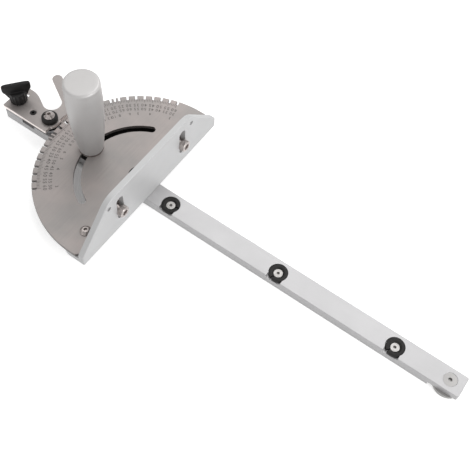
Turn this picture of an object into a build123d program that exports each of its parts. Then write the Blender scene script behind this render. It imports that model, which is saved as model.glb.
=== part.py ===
from build123d import *
import math
import os

# Miter gauge for a table saw. X runs along the bar towards its front end, Y across it, Z up.
# The origin is on the head's pivot axis, at the underside of the bar. Lengths are in
# millimetres and angles in degrees. An angle called a bearing is counted from the rear of the
# bar (minus X) towards plus Y.

# Bar
BAR_LENGTH = 450.0
BAR_WIDTH = 19.0
BAR_HEIGHT = 9.5
BAR_BEHIND_LEVER = 45.7
BAR_CORNER = 1.5
BAR_EDGE = 0.4
BLIND_FLOOR = 1.5

# Expansion discs let into the bar
DISC_COUNT = 3
DISC_FIRST = 34.5
DISC_LAST_INSET = 58.4
DISC_ASIDE = 1.5
DISC_RADIUS = 7.9
DISC_HEIGHT = 2.8
DISC_CHIN_WIDTH = 13.1
DISC_PROUD = 0.15
DISC_SPLIT = 1.0
DISC_SPLIT_OFFSET = 1.5
DISC_SUNK = 0.1
POCKET_GAP = 0.15
DISC_SCREW_RADIUS = 2.0
DISC_SCREW_SUNK = 1.1
DISC_HEAD_RADIUS = 3.75
DISC_HEX = 2.5

# T-slot washer under the bar's front end
WASHER_FROM_END = 11.5
WASHER_RADIUS = 12.0
WASHER_HEIGHT = 3.2
RECESS_DEPTH = 3.8
RECESS_RADIUS = 16.0
END_SCREW_RADIUS = 3.0
END_HEAD_RADIUS = 5.5
END_HEX = 3.2
END_SINK_GAP = 0.4
HEX_DEPTH = 2.0

# Levels of the head, counted up from the bar
RUNNING_GAP = 0.05
FOOT_HEIGHT = 5.0
PLATE_HEIGHT = 3.0

# Protractor plate. The notch that squares the head lies off the bar's middle, at the tooth.
PLATE_RADIUS = 88.0
TOOTH_ASIDE = 22.78
PLATE_CORNER_CUT = 5.5
PLATE_EDGE = 0.3
NOTCH_DEPTH = 4.0
NOTCH_WIDTH = 2.0
STOP_ANGLES = [0.0, 5.0, 10.0, 15.0, 20.0, 22.5, 25.0, 30.0, 35.0, 40.0, 45.0, 50.0, 55.0, 60.0]
SLOT_RADIUS = 51.1
SLOT_WIDTH = 6.3
SLOT_END_BEARING = 64.4

# Fence bracket, an angle section with its foot under the plate
FENCE_FACE = 15.0
WALL_THICKNESS = 5.0
FENCE_PAST_PLATE = 0.0
FENCE_HEIGHT = 47.5
FENCE_END_HEIGHT = 11.0
FENCE_SLOPE = 45.0
FENCE_SHOULDER = 16.0
FENCE_TOE = 3.0
FENCE_EDGE = 0.5
FOOT_REACH = 27.0
FOOT_CORNER = 12.0
PLATE_TO_WALL = 0.1
FENCE_HOLE_RADIUS = 2.0
FENCE_HOLE_INSET = 35.0
FENCE_HOLE_DROP = 9.0
PIN_HOLE_RADIUS = 0.9
PIN_HOLE_INSET = 3.2

# Slots in the fence and the bolts that slide in them
BOLT_INSET = 47.5
BOLT_LEVEL = 32.0
BOLT_RADIUS = 3.0
BOLT_END = 2.0
BOLT_TIP = 0.5
FENCE_SLOT_WIDTH = 8.0
FENCE_SLOT_BOTTOM = 22.0
FENCE_SLOT_TOP = 49.0
NUT_FLATS = 10.0
NUT_HEIGHT = 5.0
BOLT_HEAD_HEIGHT = 4.6
BOLT_WASHER_RADIUS = 6.0
BOLT_WASHER_HEIGHT = 1.2

# Screws that hold the plate on the bracket's foot
PLATE_SCREW_X = -1.0
PLATE_SCREW_INSET = 21.5
PLATE_SCREW_RADIUS = 2.5
BUTTON_RADIUS = 4.75
BUTTON_HEIGHT = 2.75
BUTTON_RIM = 0.7
BUTTON_CROWN = 2.6
BUTTON_HEX = 3.0

# Head pivot
PIVOT_BUSH_RADIUS = 6.0
PIVOT_SCREW_RADIUS = 4.0
PIVOT_HEAD_RADIUS = 8.6
PIVOT_HEAD_HEIGHT = 3.0
PIVOT_HEAD_EDGE = 0.5
PIVOT_WASHER_RADIUS = 9.2
PIVOT_WASHER_HEIGHT = 1.0
PIVOT_HEX = 5.0

# Clamping handle
HANDLE_BASE_RADIUS = 10.4
HANDLE_SWELL_RADIUS = 15.0
HANDLE_SWELL = 0.64
HANDLE_TOP_RADIUS = 14.6
HANDLE_HEIGHT = 81.0
HANDLE_TOP_EDGE = 1.1
HANDLE_BASE_EDGE = 0.8
HANDLE_WASHER_RADIUS = 10.6
HANDLE_WASHER_HEIGHT = 1.2
STUD_RADIUS = 3.0
STUD_IN_HANDLE = 22.0

# Stop lever at the bar's rear end, with corners measured from its pivot
LEVER_BEHIND_RIM = 8.8
LEVER_THICKNESS = 3.0
LEVER_REAR = 42.8
LEVER_NEAR_SIDE = 12.4
LEVER_FAR_SIDE = 15.3
LEVER_TOE = 5.5
LEVER_TOE_RADIUS = 1.2
LEVER_HEEL_RADIUS = 0.8
LEVER_BACK_RADIUS = 6.0
LEVER_NOSE = 8.4
NOSE_BLEND = 2.0
LEVER_WAIST = (6.6, 4.4)
LEVER_SHOULDER = (8.1, 24.3)
SHOULDER_RADIUS = 5.0
FINGER_TIP = (27.1, 44.8)
FINGER_END = (31.7, 36.8)
FINGER_RADIUS = 4.55
GAP_FAR_CORNER = (0.2, 18.4)
GAP_NEAR_CORNER = (8.0, 4.0)
GAP_RADIUS = 8.25
LOBE_START = 27.8
LOBE_RADIUS = 22.0
ENGAGE_ANGLE = 5.3
RELEASE_ANGLE = 12.0
LEVER_SLOT_RADIUS = 35.4
LEVER_SLOT_PLAY = 0.3

# Toothed block under the lever
TOOTH_BLOCK_HEIGHT = 3.0
TOOTH_GAP = 0.35
TOOTH_REACH = 2.1
TOOTH_TIP = 0.9
TOOTH_ROOT = 1.8
TOOTH_BLOCK_NEAR = 3.8
TOOTH_BLOCK_FAR = 28.6
TOOTH_BLOCK_DEPTH = 9.0
TOOTH_BUSH_GAP = 0.6
TOOTH_SCREW_RADIUS = 1.5
TOOTH_SCREW_NEAR = 14.6
TOOTH_SCREW_FAR = 22.5
TOOTH_SCREW_HEAD = 2.6
TOOTH_SCREW_BITE = 2.0

# Lever pivot, its nylon collar and the spacer that carries the lever's rear
LEVER_BUSH_RADIUS = 6.2
LEVER_SPIGOT_RADIUS = 3.5
LEVER_SCREW_RADIUS = 2.5
COLLAR_RADIUS = 7.0
COLLAR_HEIGHT = 4.4
COLLAR_EDGE = 1.1
SPACER_LENGTH = 18.0
SPACER_WIDTH = 18.0

# Return spring and the grub screw that it bears on
SPRING_WIRE = 0.5
SPRING_RADIUS = 7.0
SPRING_TURNS = 2
SPRING_PITCH = 1.05
SPRING_LEVEL = 1.1
SPRING_LEG = 18.2
SPRING_LEG_LOW = 16.7
SPRING_DIP = 2.6
SPRING_AIM = 4.4
GRUB_BEHIND = 16.7
GRUB_ASIDE = 3.0
GRUB_SINK = 1.0
GRUB_RADIUS = 2.5
GRUB_LENGTH = 8.2
GRUB_SUNK = 0.5
GRUB_HEX = 2.5
SPRING_POCKET_LENGTH = 13.5
SPRING_POCKET_BEHIND = 12.0
SPRING_POCKET_DEPTH = 3.0
SPRING_POCKET_IN = 7.0

# Thumb screw
KNOB_HUB_RADIUS = 5.9
KNOB_RIB = 0.45
KNOB_RIB_WIDTH = 1.2
KNOB_RIBS = 14
KNOB_HUB_HEIGHT = 13.0
KNOB_HEIGHT = 20.0
KNOB_SPAN = 23.4
KNOB_WING = 4.6
KNOB_WING_DEPTH = 7.5
KNOB_WING_ROOT = 4.5
KNOB_CORNER = 2.0
KNOB_EDGE = 0.9
KNOB_ANGLE = 52.0
STUD_IN_KNOB = 12.0

# Fits
SHAFT_GAP = 0.05
HOLE_GAP = 0.1
TIP_GAP = 0.5

# Levels and places worked out from the sizes above
LEVER_PIVOT = -PLATE_RADIUS - LEVER_BEHIND_RIM
BAR_REAR = LEVER_PIVOT - BAR_BEHIND_LEVER
BAR_FRONT = BAR_REAR + BAR_LENGTH
HALF_BAR = BAR_WIDTH / 2
FOOT_LEVEL = BAR_HEIGHT + RUNNING_GAP
PLATE_LEVEL = FOOT_LEVEL + FOOT_HEIGHT
PLATE_TOP = PLATE_LEVEL + PLATE_HEIGHT
CLAMP_LEVEL = PLATE_TOP + RUNNING_GAP
LEVER_LEVEL = PLATE_TOP + RUNNING_GAP
LEVER_TOP = LEVER_LEVEL + LEVER_THICKNESS
KNOB_LEVEL = LEVER_TOP + RUNNING_GAP
FENCE_BACK = FENCE_FACE - WALL_THICKNESS
FENCE_TOP = FOOT_LEVEL + FENCE_HEIGHT
FENCE_END = PLATE_RADIUS + FENCE_PAST_PLATE
BOLT_Y = FENCE_END - BOLT_INSET
PLATE_SCREW_Y = PLATE_RADIUS - PLATE_SCREW_INSET
WASHER_X = BAR_FRONT - WASHER_FROM_END
NOTCH_BEARING = math.degrees(math.asin(TOOTH_ASIDE / PLATE_RADIUS))
GRUB_X = LEVER_PIVOT - GRUB_BEHIND
GRUB_Y = -GRUB_ASIDE
KNOB_X = LEVER_PIVOT - LEVER_SLOT_RADIUS
ON_BASE = (Align.CENTER, Align.CENTER, Align.MIN)
FROM_TOP = (Align.CENTER, Align.CENTER, Align.MAX)


def rod(radius, bottom, top, x=0.0, y=0.0):
    """Upright cylinder between two levels."""
    return Pos(x, y, bottom) * Cylinder(radius, top - bottom, align=ON_BASE)


def prism(outline, bottom, top):
    """Flat outline in the XY plane carried up between two levels."""
    return Pos(0, 0, bottom) * extrude(outline, amount=top - bottom)


def polar(radius, bearing):
    """Point at a radius from the head's pivot, at a bearing from the rear."""
    angle = math.radians(bearing)
    return (-radius * math.cos(angle), radius * math.sin(angle))


def hex_socket(flats, depth, x, y, top):
    """Six-sided socket sunk from a level."""
    outline = RegularPolygon(flats / 2, 6, major_radius=False)
    return Pos(x, y, top - depth) * extrude(outline, amount=depth)


def cone_head(radius, shank, x, y, top):
    """Countersunk head, a 90 degree cone that ends at its shank."""
    depth = radius - shank
    return Pos(x, y, top) * Cone(shank, radius, depth, align=FROM_TOP)


def countersunk_screw(head, shank, flats, x, y, top, tip):
    """Countersunk socket screw with its head at the top."""
    screw = rod(shank, tip, top - 0.1, x, y) + cone_head(head, shank, x, y, top)
    return screw - hex_socket(flats, min(HEX_DEPTH, head - shank + 1.0), x, y, top)


def button_screw(x, y, seat, tip, shank):
    """Button head socket screw that sits on a level."""
    profile = make_face(
        Polyline((0, 0), (BUTTON_RADIUS, 0), (BUTTON_RADIUS, BUTTON_RIM), (BUTTON_CROWN, BUTTON_HEIGHT),
                 (0, BUTTON_HEIGHT), (0, 0))
    )
    head = revolve(Plane.XZ * profile, Axis.Z)
    screw = Pos(x, y, seat) * head + rod(shank, tip, seat + 0.1, x, y)
    return screw - hex_socket(BUTTON_HEX, HEX_DEPTH - 0.3, x, y, seat + BUTTON_HEIGHT)


def disc_outline(grow):
    """Round pad with a chin that reaches the bar's near side, enlarged all round by a gap."""
    width = DISC_CHIN_WIDTH + 2 * grow
    reach = HALF_BAR - DISC_ASIDE + DISC_PROUD + grow
    pad = Circle(DISC_RADIUS + grow) + Pos(0, -reach / 2) * Rectangle(width, reach)
    return Pos(0, -DISC_ASIDE) * pad


def disc_places():
    """Distances of the expansion discs along the bar."""
    pitch = (BAR_FRONT - DISC_LAST_INSET - DISC_FIRST) / (DISC_COUNT - 1)
    return [DISC_FIRST + index * pitch for index in range(DISC_COUNT)]


def miter_bar():
    """Flat bar with its pockets, screw holes and the washer recess under its front end."""
    bar = Pos(BAR_REAR + BAR_LENGTH / 2, 0, 0) * Box(BAR_LENGTH, BAR_WIDTH, BAR_HEIGHT, align=ON_BASE)
    bar = fillet(bar.edges().filter_by(Axis.Z), BAR_CORNER)
    rims = bar.faces().sort_by(Axis.Z)
    bar = chamfer(rims[-1].edges() + rims[0].edges(), BAR_EDGE)
    pocket_floor = BAR_HEIGHT - DISC_SUNK - DISC_HEIGHT
    for place in disc_places():
        bar -= Pos(place, 0, 0) * prism(disc_outline(POCKET_GAP), pocket_floor, BAR_HEIGHT + 1)
        bar -= rod(DISC_SCREW_RADIUS + SHAFT_GAP, BLIND_FLOOR, pocket_floor + 1, place, -DISC_ASIDE)
    recess = Circle(RECESS_RADIUS) + Pos(RECESS_RADIUS, 0) * Rectangle(2 * RECESS_RADIUS, 2 * RECESS_RADIUS)
    bar -= Pos(WASHER_X, 0, 0) * prism(recess, -1, RECESS_DEPTH)
    bar -= rod(END_SCREW_RADIUS + HOLE_GAP, 0, BAR_HEIGHT + 1, WASHER_X)
    bar -= cone_head(END_HEAD_RADIUS + END_SINK_GAP, END_SCREW_RADIUS, WASHER_X, 0, BAR_HEIGHT)
    for place, radius in (
        (0.0, PIVOT_SCREW_RADIUS),
        (-SLOT_RADIUS, STUD_RADIUS),
        (LEVER_PIVOT, LEVER_SCREW_RADIUS),
        (KNOB_X, STUD_RADIUS),
    ):
        bar -= rod(radius + SHAFT_GAP, BLIND_FLOOR, BAR_HEIGHT + 1, place)
    pocket_x = LEVER_PIVOT - SPRING_POCKET_BEHIND - SPRING_POCKET_LENGTH / 2
    pocket_y = -HALF_BAR + SPRING_POCKET_IN / 2 - 1
    pocket = Rectangle(SPRING_POCKET_LENGTH, SPRING_POCKET_IN + 2)
    bar -= Pos(pocket_x, pocket_y, 0) * prism(pocket, BAR_HEIGHT - SPRING_POCKET_DEPTH, BAR_HEIGHT + 1)
    return bar


def expansion_disc(place):
    """Split nylon pad that its tapered screw spreads against the side of the saw's slot."""
    top = BAR_HEIGHT - DISC_SUNK
    disc = Pos(place, 0, 0) * prism(disc_outline(0), top - DISC_HEIGHT, top)
    sink = DISC_HEAD_RADIUS + DISC_SCREW_SUNK + SHAFT_GAP
    disc -= rod(DISC_SCREW_RADIUS + HOLE_GAP, top - DISC_HEIGHT - 1, top + 1, place, -DISC_ASIDE)
    disc -= cone_head(sink, DISC_SCREW_RADIUS, place, -DISC_ASIDE, top)
    split_x = place - DISC_SPLIT_OFFSET
    split = Pos(split_x, -DISC_ASIDE - DISC_RADIUS, 0) * Rectangle(DISC_SPLIT, 2 * DISC_RADIUS)
    return disc - prism(split, top - DISC_HEIGHT - 1, top + 1)


def expansion_screw(place):
    """Countersunk screw of an expansion disc."""
    top = BAR_HEIGHT - DISC_SUNK - DISC_SCREW_SUNK
    tip = BLIND_FLOOR + TIP_GAP
    return countersunk_screw(DISC_HEAD_RADIUS, DISC_SCREW_RADIUS, DISC_HEX, place, -DISC_ASIDE, top, tip)


def t_slot_washer():
    """Thick washer under the bar's front end, which runs in the wings of a T-slot."""
    washer = rod(WASHER_RADIUS, RECESS_DEPTH - WASHER_HEIGHT, RECESS_DEPTH, WASHER_X)
    washer = chamfer(washer.edges().sort_by(Axis.Z)[0], BAR_EDGE)
    return washer - rod(END_SCREW_RADIUS + SHAFT_GAP, 0, RECESS_DEPTH + 1, WASHER_X)


def t_slot_screw():
    """Countersunk screw that holds the T-slot washer."""
    top = BAR_HEIGHT - END_SINK_GAP
    tip = RECESS_DEPTH - WASHER_HEIGHT + 0.2
    return countersunk_screw(END_HEAD_RADIUS, END_SCREW_RADIUS, END_HEX, WASHER_X, 0, top, tip)


def arc_band(radius, width, first, last, centre=(0.0, 0.0)):
    """Slot with round ends along an arc, between two bearings about a centre."""
    ends = [polar(radius, bearing) for bearing in (first, (first + last) / 2, last)]
    points = [(centre[0] + x, centre[1] + y) for x, y in ends]
    inner = [polar(radius - width / 2, bearing) for bearing in (first, (first + last) / 2, last)]
    outer = [polar(radius + width / 2, bearing) for bearing in (first, (first + last) / 2, last)]
    inner = [(centre[0] + x, centre[1] + y) for x, y in inner]
    outer = [(centre[0] + x, centre[1] + y) for x, y in outer]
    band = make_face(
        ThreePointArc(*inner)
        + Line(inner[2], outer[2])
        + ThreePointArc(*reversed(outer))
        + Line(outer[0], inner[0])
    )
    for x, y in (points[0], points[2]):
        band += Pos(x, y) * Circle(width / 2)
    return band


def stop_bearings():
    """Bearings of every notch with the head square to the bar."""
    both = sorted({sign * angle for angle in STOP_ANGLES for sign in (-1, 1)})
    return [NOTCH_BEARING + angle for angle in both]


def protractor_plate():
    """Half-round plate with a notched rim, the handle's arc slot and the pivot bore."""
    front = FENCE_BACK - PLATE_TO_WALL
    size = 2 * PLATE_RADIUS
    outline = Circle(PLATE_RADIUS) & Pos(front - PLATE_RADIUS, 0) * Rectangle(size, 2 * size)
    for side in (-1, 1):
        corner = Pos(front, side * math.sqrt(PLATE_RADIUS**2 - front**2))
        outline -= corner * Rot(0, 0, 45) * Rectangle(PLATE_CORNER_CUT, PLATE_CORNER_CUT)
    for bearing in stop_bearings():
        x, y = polar(PLATE_RADIUS, bearing)
        outline -= Pos(x, y) * Rot(0, 0, -bearing) * Rectangle(2 * NOTCH_DEPTH, NOTCH_WIDTH)
    plate = prism(outline, PLATE_LEVEL, PLATE_TOP)
    plate = chamfer(plate.faces().sort_by(Axis.Z)[-1].edges(), PLATE_EDGE)
    slot = arc_band(SLOT_RADIUS, SLOT_WIDTH, -SLOT_END_BEARING, SLOT_END_BEARING)
    plate -= prism(slot, PLATE_LEVEL - 1, PLATE_TOP + 1)
    plate -= rod(PIVOT_BUSH_RADIUS + SHAFT_GAP, PLATE_LEVEL - 1, PLATE_TOP + 1)
    for y in plate_screw_places():
        plate -= rod(PLATE_SCREW_RADIUS + HOLE_GAP, PLATE_LEVEL - 1, PLATE_TOP + 1, PLATE_SCREW_X, y)
    return plate


def plate_screw_places():
    """Places across the bar of the two screws through the plate."""
    return (-PLATE_SCREW_Y, PLATE_SCREW_Y)


def fence_outline():
    """Front view of the fence, drawn in Y and Z: upright ends, slopes and rounded shoulders."""
    half = FENCE_END
    low = FOOT_LEVEL + FENCE_END_HEIGHT
    run = (FENCE_TOP - low) / math.tan(math.radians(FENCE_SLOPE))
    outline = make_face(
        Polyline((-half, FOOT_LEVEL), (half, FOOT_LEVEL), (half, low), (half - run, FENCE_TOP),
                 (run - half, FENCE_TOP), (-half, low), (-half, FOOT_LEVEL))
    )
    corners = outline.vertices().sort_by(Axis.Y)
    outline = fillet(corners[4:6], FENCE_SHOULDER)
    ends = [v for v in outline.vertices() if abs(v.Y - low) < 0.01 and abs(abs(v.X) - half) < 0.01]
    return fillet(ends, FENCE_TOE)


def fence_bracket():
    """Angle bracket: the upright fence and the foot that carries the plate."""
    upright = Plane.YZ * fence_outline()
    wall = Pos(FENCE_BACK, 0, 0) * extrude(upright, amount=WALL_THICKNESS)
    foot_back = FENCE_FACE - FOOT_REACH
    foot = Pos((foot_back + FENCE_FACE) / 2, 0) * Rectangle(FOOT_REACH, 2 * FENCE_END)
    rear = foot.vertices().sort_by(Axis.X)[:2]
    foot = fillet(rear, FOOT_CORNER)
    bracket = wall + prism(foot, FOOT_LEVEL, PLATE_LEVEL)
    front_face = bracket.faces().sort_by(Axis.X)[-1]
    bracket = chamfer(front_face.edges(), FENCE_EDGE)
    slot_height = FENCE_SLOT_TOP - FENCE_SLOT_BOTTOM
    slot_middle = (FENCE_SLOT_TOP + FENCE_SLOT_BOTTOM) / 2
    cutters = []
    for side in (-1, 1):
        slot = SlotOverall(slot_height, FENCE_SLOT_WIDTH, rotation=90)
        cutters.append(Pos(side * BOLT_Y, slot_middle) * slot)
        hole = Circle(FENCE_HOLE_RADIUS)
        cutters.append(Pos(side * (FENCE_END - FENCE_HOLE_INSET), FENCE_TOP - FENCE_HOLE_DROP) * hole)
    for cutter in cutters:
        bracket -= Pos(FENCE_BACK - 1, 0, 0) * extrude(Plane.YZ * cutter, amount=WALL_THICKNESS + 2)
    bracket -= rod(PIVOT_BUSH_RADIUS + SHAFT_GAP, 0, PLATE_LEVEL + 1)
    for y in plate_screw_places():
        bracket -= rod(PLATE_SCREW_RADIUS + SHAFT_GAP, 0, PLATE_LEVEL + 1, PLATE_SCREW_X, y)
    for side in (-1, 1):
        y = side * (FENCE_END - PIN_HOLE_INSET)
        bracket -= rod(PIN_HOLE_RADIUS, 0, PLATE_LEVEL + 1, FENCE_BACK - PIN_HOLE_INSET, y)
    return bracket


def plate_screw(y):
    """Button head screw through the plate into the bracket's foot."""
    return button_screw(PLATE_SCREW_X, y, PLATE_TOP, FOOT_LEVEL + 0.4, PLATE_SCREW_RADIUS)


def along_x(solid, x, y):
    """Lay an upright solid down with its top forwards, its base at a place on the bolt's axis."""
    return Pos(x, y, BOLT_LEVEL) * Rot(0, 90, 0) * solid


def hex_body(height):
    """Hexagon across the nut's flats with its upper corners chamfered to a cone."""
    flats = Rot(0, 0, 30) * RegularPolygon(NUT_FLATS / 2, 6, major_radius=False)
    rim = NUT_FLATS / 2
    return extrude(flats, amount=height) & Cone(rim + 1.7 * height, rim, height, align=ON_BASE)


def fence_bolt(y):
    """Hex bolt from the front of the fence, through its slot."""
    length = BOLT_HEAD_HEIGHT + WALL_THICKNESS + BOLT_WASHER_HEIGHT + NUT_HEIGHT + BOLT_END
    shank = Cylinder(BOLT_RADIUS, length, align=ON_BASE)
    shank = chamfer(shank.edges().sort_by(Axis.Z)[0], BOLT_TIP)
    bolt = shank + Pos(0, 0, length - BOLT_HEAD_HEIGHT) * hex_body(BOLT_HEAD_HEIGHT)
    return along_x(bolt, FENCE_FACE + BOLT_HEAD_HEIGHT - length, y)


def fence_washer(y):
    """Flat washer behind the fence."""
    ring = Cylinder(BOLT_WASHER_RADIUS, BOLT_WASHER_HEIGHT, align=ON_BASE)
    ring -= Cylinder(BOLT_RADIUS + HOLE_GAP, 3 * BOLT_WASHER_HEIGHT)
    return along_x(ring, FENCE_BACK - BOLT_WASHER_HEIGHT, y)


def fence_nut(y):
    """Hex nut on the bolt behind the fence."""
    nut = hex_body(NUT_HEIGHT) - Cylinder(BOLT_RADIUS + SHAFT_GAP, 3 * NUT_HEIGHT)
    return along_x(nut, FENCE_BACK - BOLT_WASHER_HEIGHT - NUT_HEIGHT, y)


def pivot_bush():
    """Bush that stands on the bar and carries the turning head."""
    bush = rod(PIVOT_BUSH_RADIUS, BAR_HEIGHT, CLAMP_LEVEL)
    return bush - rod(PIVOT_SCREW_RADIUS + HOLE_GAP, 0, CLAMP_LEVEL + 1)


def pivot_washer():
    """Washer that keeps the head down on the bar."""
    top = CLAMP_LEVEL + PIVOT_WASHER_HEIGHT
    washer = rod(PIVOT_WASHER_RADIUS, CLAMP_LEVEL, top)
    return washer - rod(PIVOT_SCREW_RADIUS + HOLE_GAP, 0, top + 1)


def pivot_screw():
    """Low-headed socket screw on the pivot axis."""
    seat = CLAMP_LEVEL + PIVOT_WASHER_HEIGHT
    head = rod(PIVOT_HEAD_RADIUS, seat, seat + PIVOT_HEAD_HEIGHT)
    head = chamfer(head.edges().sort_by(Axis.Z)[-1], PIVOT_HEAD_EDGE)
    screw = head + rod(PIVOT_SCREW_RADIUS, BLIND_FLOOR + TIP_GAP, seat + 0.1)
    return screw - hex_socket(PIVOT_HEX, HEX_DEPTH, 0, 0, seat + PIVOT_HEAD_HEIGHT)


def handle():
    """Turned handle that swells above its middle, with a blind hole for the stud."""
    base = CLAMP_LEVEL + HANDLE_WASHER_HEIGHT
    swell = (HANDLE_SWELL_RADIUS, HANDLE_SWELL * HANDLE_HEIGHT)
    side = Spline((HANDLE_BASE_RADIUS, 0), swell, (HANDLE_TOP_RADIUS, HANDLE_HEIGHT))
    profile = side + Polyline(side @ 1, (0, HANDLE_HEIGHT), (0, 0), side @ 0)
    body = Pos(-SLOT_RADIUS, 0, base) * revolve(Plane.XZ * make_face(profile), Axis.Z)
    body = chamfer(body.edges().sort_by(Axis.Z)[-1], HANDLE_TOP_EDGE)
    body = chamfer(body.edges().sort_by(Axis.Z)[0], HANDLE_BASE_EDGE)
    return body - rod(STUD_RADIUS + SHAFT_GAP, 0, base + STUD_IN_HANDLE, -SLOT_RADIUS)


def handle_washer():
    """Washer between the handle and the plate."""
    top = CLAMP_LEVEL + HANDLE_WASHER_HEIGHT
    washer = rod(HANDLE_WASHER_RADIUS, CLAMP_LEVEL, top, -SLOT_RADIUS)
    return washer - rod(STUD_RADIUS + HOLE_GAP, 0, top + 1, -SLOT_RADIUS)


def handle_stud():
    """Threaded stud from the handle down through the arc slot into the bar."""
    top = CLAMP_LEVEL + HANDLE_WASHER_HEIGHT + STUD_IN_HANDLE
    return rod(STUD_RADIUS, BLIND_FLOOR + TIP_GAP, top, -SLOT_RADIUS)


def about_lever_pivot(shape, angle):
    """Turn a shape about the lever's pivot."""
    return Pos(LEVER_PIVOT, 0) * Rot(0, 0, angle) * Pos(-LEVER_PIVOT, 0) * shape


def rounded_outline(corners):
    """Closed straight-sided outline whose corners are then rounded: (x, y, radius) each, 0 if sharp."""
    points = [(x, y) for x, y, _ in corners]
    outline = make_face(Polyline(points + points[:1]))
    for x, y, radius in corners:
        if radius > 0:
            corner = outline.vertices().sort_by_distance((x, y, 0))[0]
            outline = fillet(corner, radius)
    return outline


def lever_outline():
    """Plan of the lever: a nose round its pivot, the finger, the round finger gap and the lobe."""
    corners = [
        (-LEVER_REAR, -LEVER_NEAR_SIDE, LEVER_HEEL_RADIUS),
        (LEVER_TOE, -LEVER_NEAR_SIDE, LEVER_TOE_RADIUS),
        (LEVER_TOE, 0.0, 0.0),
        (LEVER_WAIST[0], LEVER_WAIST[1], 0.0),
        (LEVER_SHOULDER[0], LEVER_SHOULDER[1], SHOULDER_RADIUS),
        (-FINGER_TIP[0], FINGER_TIP[1], FINGER_RADIUS),
        (-FINGER_END[0], FINGER_END[1], FINGER_RADIUS),
        (GAP_FAR_CORNER[0], GAP_FAR_CORNER[1], GAP_RADIUS),
        (-GAP_NEAR_CORNER[0], GAP_NEAR_CORNER[1], GAP_RADIUS),
        (-LOBE_START, LEVER_FAR_SIDE, LOBE_RADIUS),
        (-LEVER_REAR, LEVER_FAR_SIDE, LEVER_BACK_RADIUS),
    ]
    outline = rounded_outline(corners) + Circle(LEVER_NOSE)
    joins = [v for v in outline.vertices() if v.X > 0 and abs(math.hypot(v.X, v.Y) - LEVER_NOSE) < 0.01]
    return Pos(LEVER_PIVOT, 0) * fillet(joins, NOSE_BLEND)


def stop_lever():
    """Flat lever with its finger, pivot bore, lock slot and threaded hole."""
    lever = prism(lever_outline(), LEVER_LEVEL, LEVER_TOP)
    lever = chamfer(lever.faces().sort_by(Axis.Z)[-1].edges(), PLATE_EDGE)
    width = 2 * (STUD_RADIUS + LEVER_SLOT_PLAY)
    slot = arc_band(LEVER_SLOT_RADIUS, width, -ENGAGE_ANGLE, RELEASE_ANGLE, (LEVER_PIVOT, 0.0))
    lever -= prism(slot, LEVER_LEVEL - 1, LEVER_TOP + 1)
    lever -= rod(LEVER_SPIGOT_RADIUS + SHAFT_GAP, LEVER_LEVEL - 1, LEVER_TOP + 1, LEVER_PIVOT)
    lever -= rod(GRUB_RADIUS + SHAFT_GAP, LEVER_LEVEL - 1, LEVER_TOP + 1, GRUB_X, GRUB_Y)
    lever -= cone_head(GRUB_RADIUS + GRUB_SINK, GRUB_RADIUS, GRUB_X, GRUB_Y, LEVER_TOP)
    bite = LEVER_LEVEL + TOOTH_SCREW_BITE + HOLE_GAP
    for x, y in tooth_screw_places():
        lever -= rod(TOOTH_SCREW_RADIUS + SHAFT_GAP, LEVER_LEVEL - 1, bite, x, y)
    return lever


def level_with(radius, y):
    """Point at a radius from the head's pivot, behind it, at a distance across the bar."""
    return (-math.sqrt(radius**2 - y**2), y)


def tooth_outline():
    """Plan of the block in its engaged place: an arc just off the rim, with one tapered tooth."""
    face = PLATE_RADIUS + TOOTH_GAP
    back = face + TOOTH_BLOCK_DEPTH
    inner = [level_with(face, y) for y in (TOOTH_BLOCK_NEAR, TOOTH_ASIDE, TOOTH_BLOCK_FAR)]
    outer = [level_with(back, y) for y in (TOOTH_BLOCK_NEAR, TOOTH_ASIDE, TOOTH_BLOCK_FAR)]
    block = make_face(
        ThreePointArc(*inner)
        + Line(inner[2], outer[2])
        + ThreePointArc(*reversed(outer))
        + Line(outer[0], inner[0])
    )
    tip = TOOTH_REACH + TOOTH_GAP
    tooth = make_face(
        Polyline((-1, TOOTH_ROOT / 2), (0, TOOTH_ROOT / 2), (tip, TOOTH_TIP / 2), (tip, -TOOTH_TIP / 2),
                 (0, -TOOTH_ROOT / 2), (-1, -TOOTH_ROOT / 2), (-1, TOOTH_ROOT / 2))
    )
    x, y = polar(face, NOTCH_BEARING)
    return block + Pos(x, y) * Rot(0, 0, -NOTCH_BEARING) * tooth


def tooth_screw_places():
    """Places of the two screws that hold the toothed block."""
    places = []
    middle = PLATE_RADIUS + TOOTH_GAP + TOOTH_BLOCK_DEPTH / 2
    for distance in (TOOTH_SCREW_NEAR, TOOTH_SCREW_FAR):
        x, y = level_with(middle, distance)
        angle = math.radians(ENGAGE_ANGLE)
        reach = x - LEVER_PIVOT
        turned_x = LEVER_PIVOT + reach * math.cos(angle) - y * math.sin(angle)
        turned_y = reach * math.sin(angle) + y * math.cos(angle)
        places.append((turned_x, turned_y))
    return places


def tooth_screw_head(gap):
    """Cone of a small screw's head, wide end down, enlarged by a gap."""
    depth = TOOTH_SCREW_HEAD - TOOTH_SCREW_RADIUS
    return Cone(TOOTH_SCREW_HEAD + gap, TOOTH_SCREW_RADIUS + gap, depth, align=ON_BASE)


def stop_tooth():
    """Toothed block, drawn clear of the rim as it lies with the lever at rest."""
    block = about_lever_pivot(tooth_outline(), ENGAGE_ANGLE)
    bottom = LEVER_LEVEL - TOOTH_BLOCK_HEIGHT
    block = prism(block, bottom, LEVER_LEVEL)
    block -= rod(LEVER_BUSH_RADIUS + TOOTH_BUSH_GAP, 0, LEVER_LEVEL + 1, LEVER_PIVOT)
    for x, y in tooth_screw_places():
        block -= rod(TOOTH_SCREW_RADIUS + HOLE_GAP, 0, LEVER_LEVEL + 1, x, y)
        block -= Pos(x, y, bottom) * tooth_screw_head(HOLE_GAP)
    return block


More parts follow.
